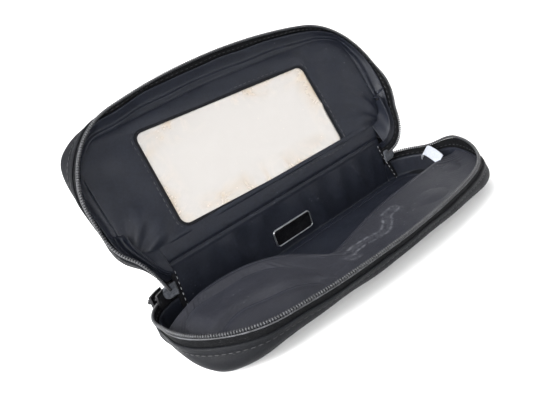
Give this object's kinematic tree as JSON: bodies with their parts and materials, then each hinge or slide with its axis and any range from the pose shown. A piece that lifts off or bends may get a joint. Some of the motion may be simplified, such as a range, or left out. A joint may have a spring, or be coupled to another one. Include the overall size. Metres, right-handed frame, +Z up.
{
  "type": "zip-round makeup bag",
  "caption": "Flat zip-round cosmetic pouch standing open: padded nylon tray with a slip pocket, and a mirrored lid folding about a padded spine.",
  "frame": {"origin": "centre of the flat bottom panel's underside", "axes": "+X along the spine and hinge, towards the right when facing the open bag; -Y to the front, +Y to the spine; +Z up"},
  "size_m": [0.1816, 0.1016, 0.1061],
  "materials": {
    "outer_nylon": "satin",
    "lining_satin": "satin",
    "pocket_satin": "satin",
    "binding": "matte",
    "foam": "matte",
    "stiffener_board": "matte",
    "zip_tape": "matte",
    "zip_coil": "satin",
    "care_label": "satin",
    "end_tab": "matte",
    "nameplate_metal": "satin",
    "nameplate_enamel": "gloss",
    "mirror_glass": "polished",
    "mirror_card": "matte",
    "slider_metal": "satin"
  },
  "bodies": {
    "base": {"base_outer_bottom": "outer_nylon", "base_outer_gusset": "outer_nylon", "base_stiffener_board": "stiffener_board", "base_gusset_foam": "foam", "base_lining_floor": "lining_satin", "base_lining_gusset": "lining_satin", "base_zip_tape": "zip_tape", "base_zip_coil": "zip_coil", "pocket_panel": "pocket_satin", "pocket_hem": "pocket_satin", "care_label": "care_label", "spine_outer": "outer_nylon", "spine_foam": "foam", "spine_lining": "lining_satin", "spine_binding_left": "binding", "spine_binding_right": "binding", "zip_end_tab_left": "end_tab", "zip_end_tab_right": "end_tab", "nameplate_frame": "nameplate_metal", "nameplate_enamel": "nameplate_enamel", "nameplate_washer": "nameplate_metal"},
    "lid": {"lid_outer_panel": "outer_nylon", "lid_outer_gusset": "outer_nylon", "lid_stiffener_board": "stiffener_board", "lid_foam_pad": "foam", "lid_lining_panel": "lining_satin", "lid_lining_gusset": "lining_satin", "lid_zip_tape": "zip_tape", "lid_zip_coil": "zip_coil", "mirror_glass": "mirror_glass", "mirror_card": "mirror_card", "mirror_window_binding": "binding"},
    "slider": {"slider_plate_outer": "slider_metal", "slider_plate_inner": "slider_metal", "slider_post": "slider_metal", "slider_loop": "slider_metal"},
    "pull": {"pull_tab": "slider_metal"}
  },
  "joints": [
    {"name": "lid_hinge", "type": "hinge", "parent": "base", "child": "lid", "pos_m": [0, 0.0345, 0.031], "axis": [-1, 0, 0], "range_deg": [-112, 48]},
    {"name": "slider_travel", "type": "hinge", "parent": "base", "child": "slider", "pos_m": [-0.07, 0.0135, 0.018], "axis": [0, 0, 1], "range_deg": [0, 25]},
    {"name": "pull_swing", "type": "hinge", "parent": "slider", "child": "pull", "pos_m": [-0.08129, 0.03474, 0.018], "axis": [0.8829, 0.4695, 0], "range_deg": [-8, 160]}
  ]
}
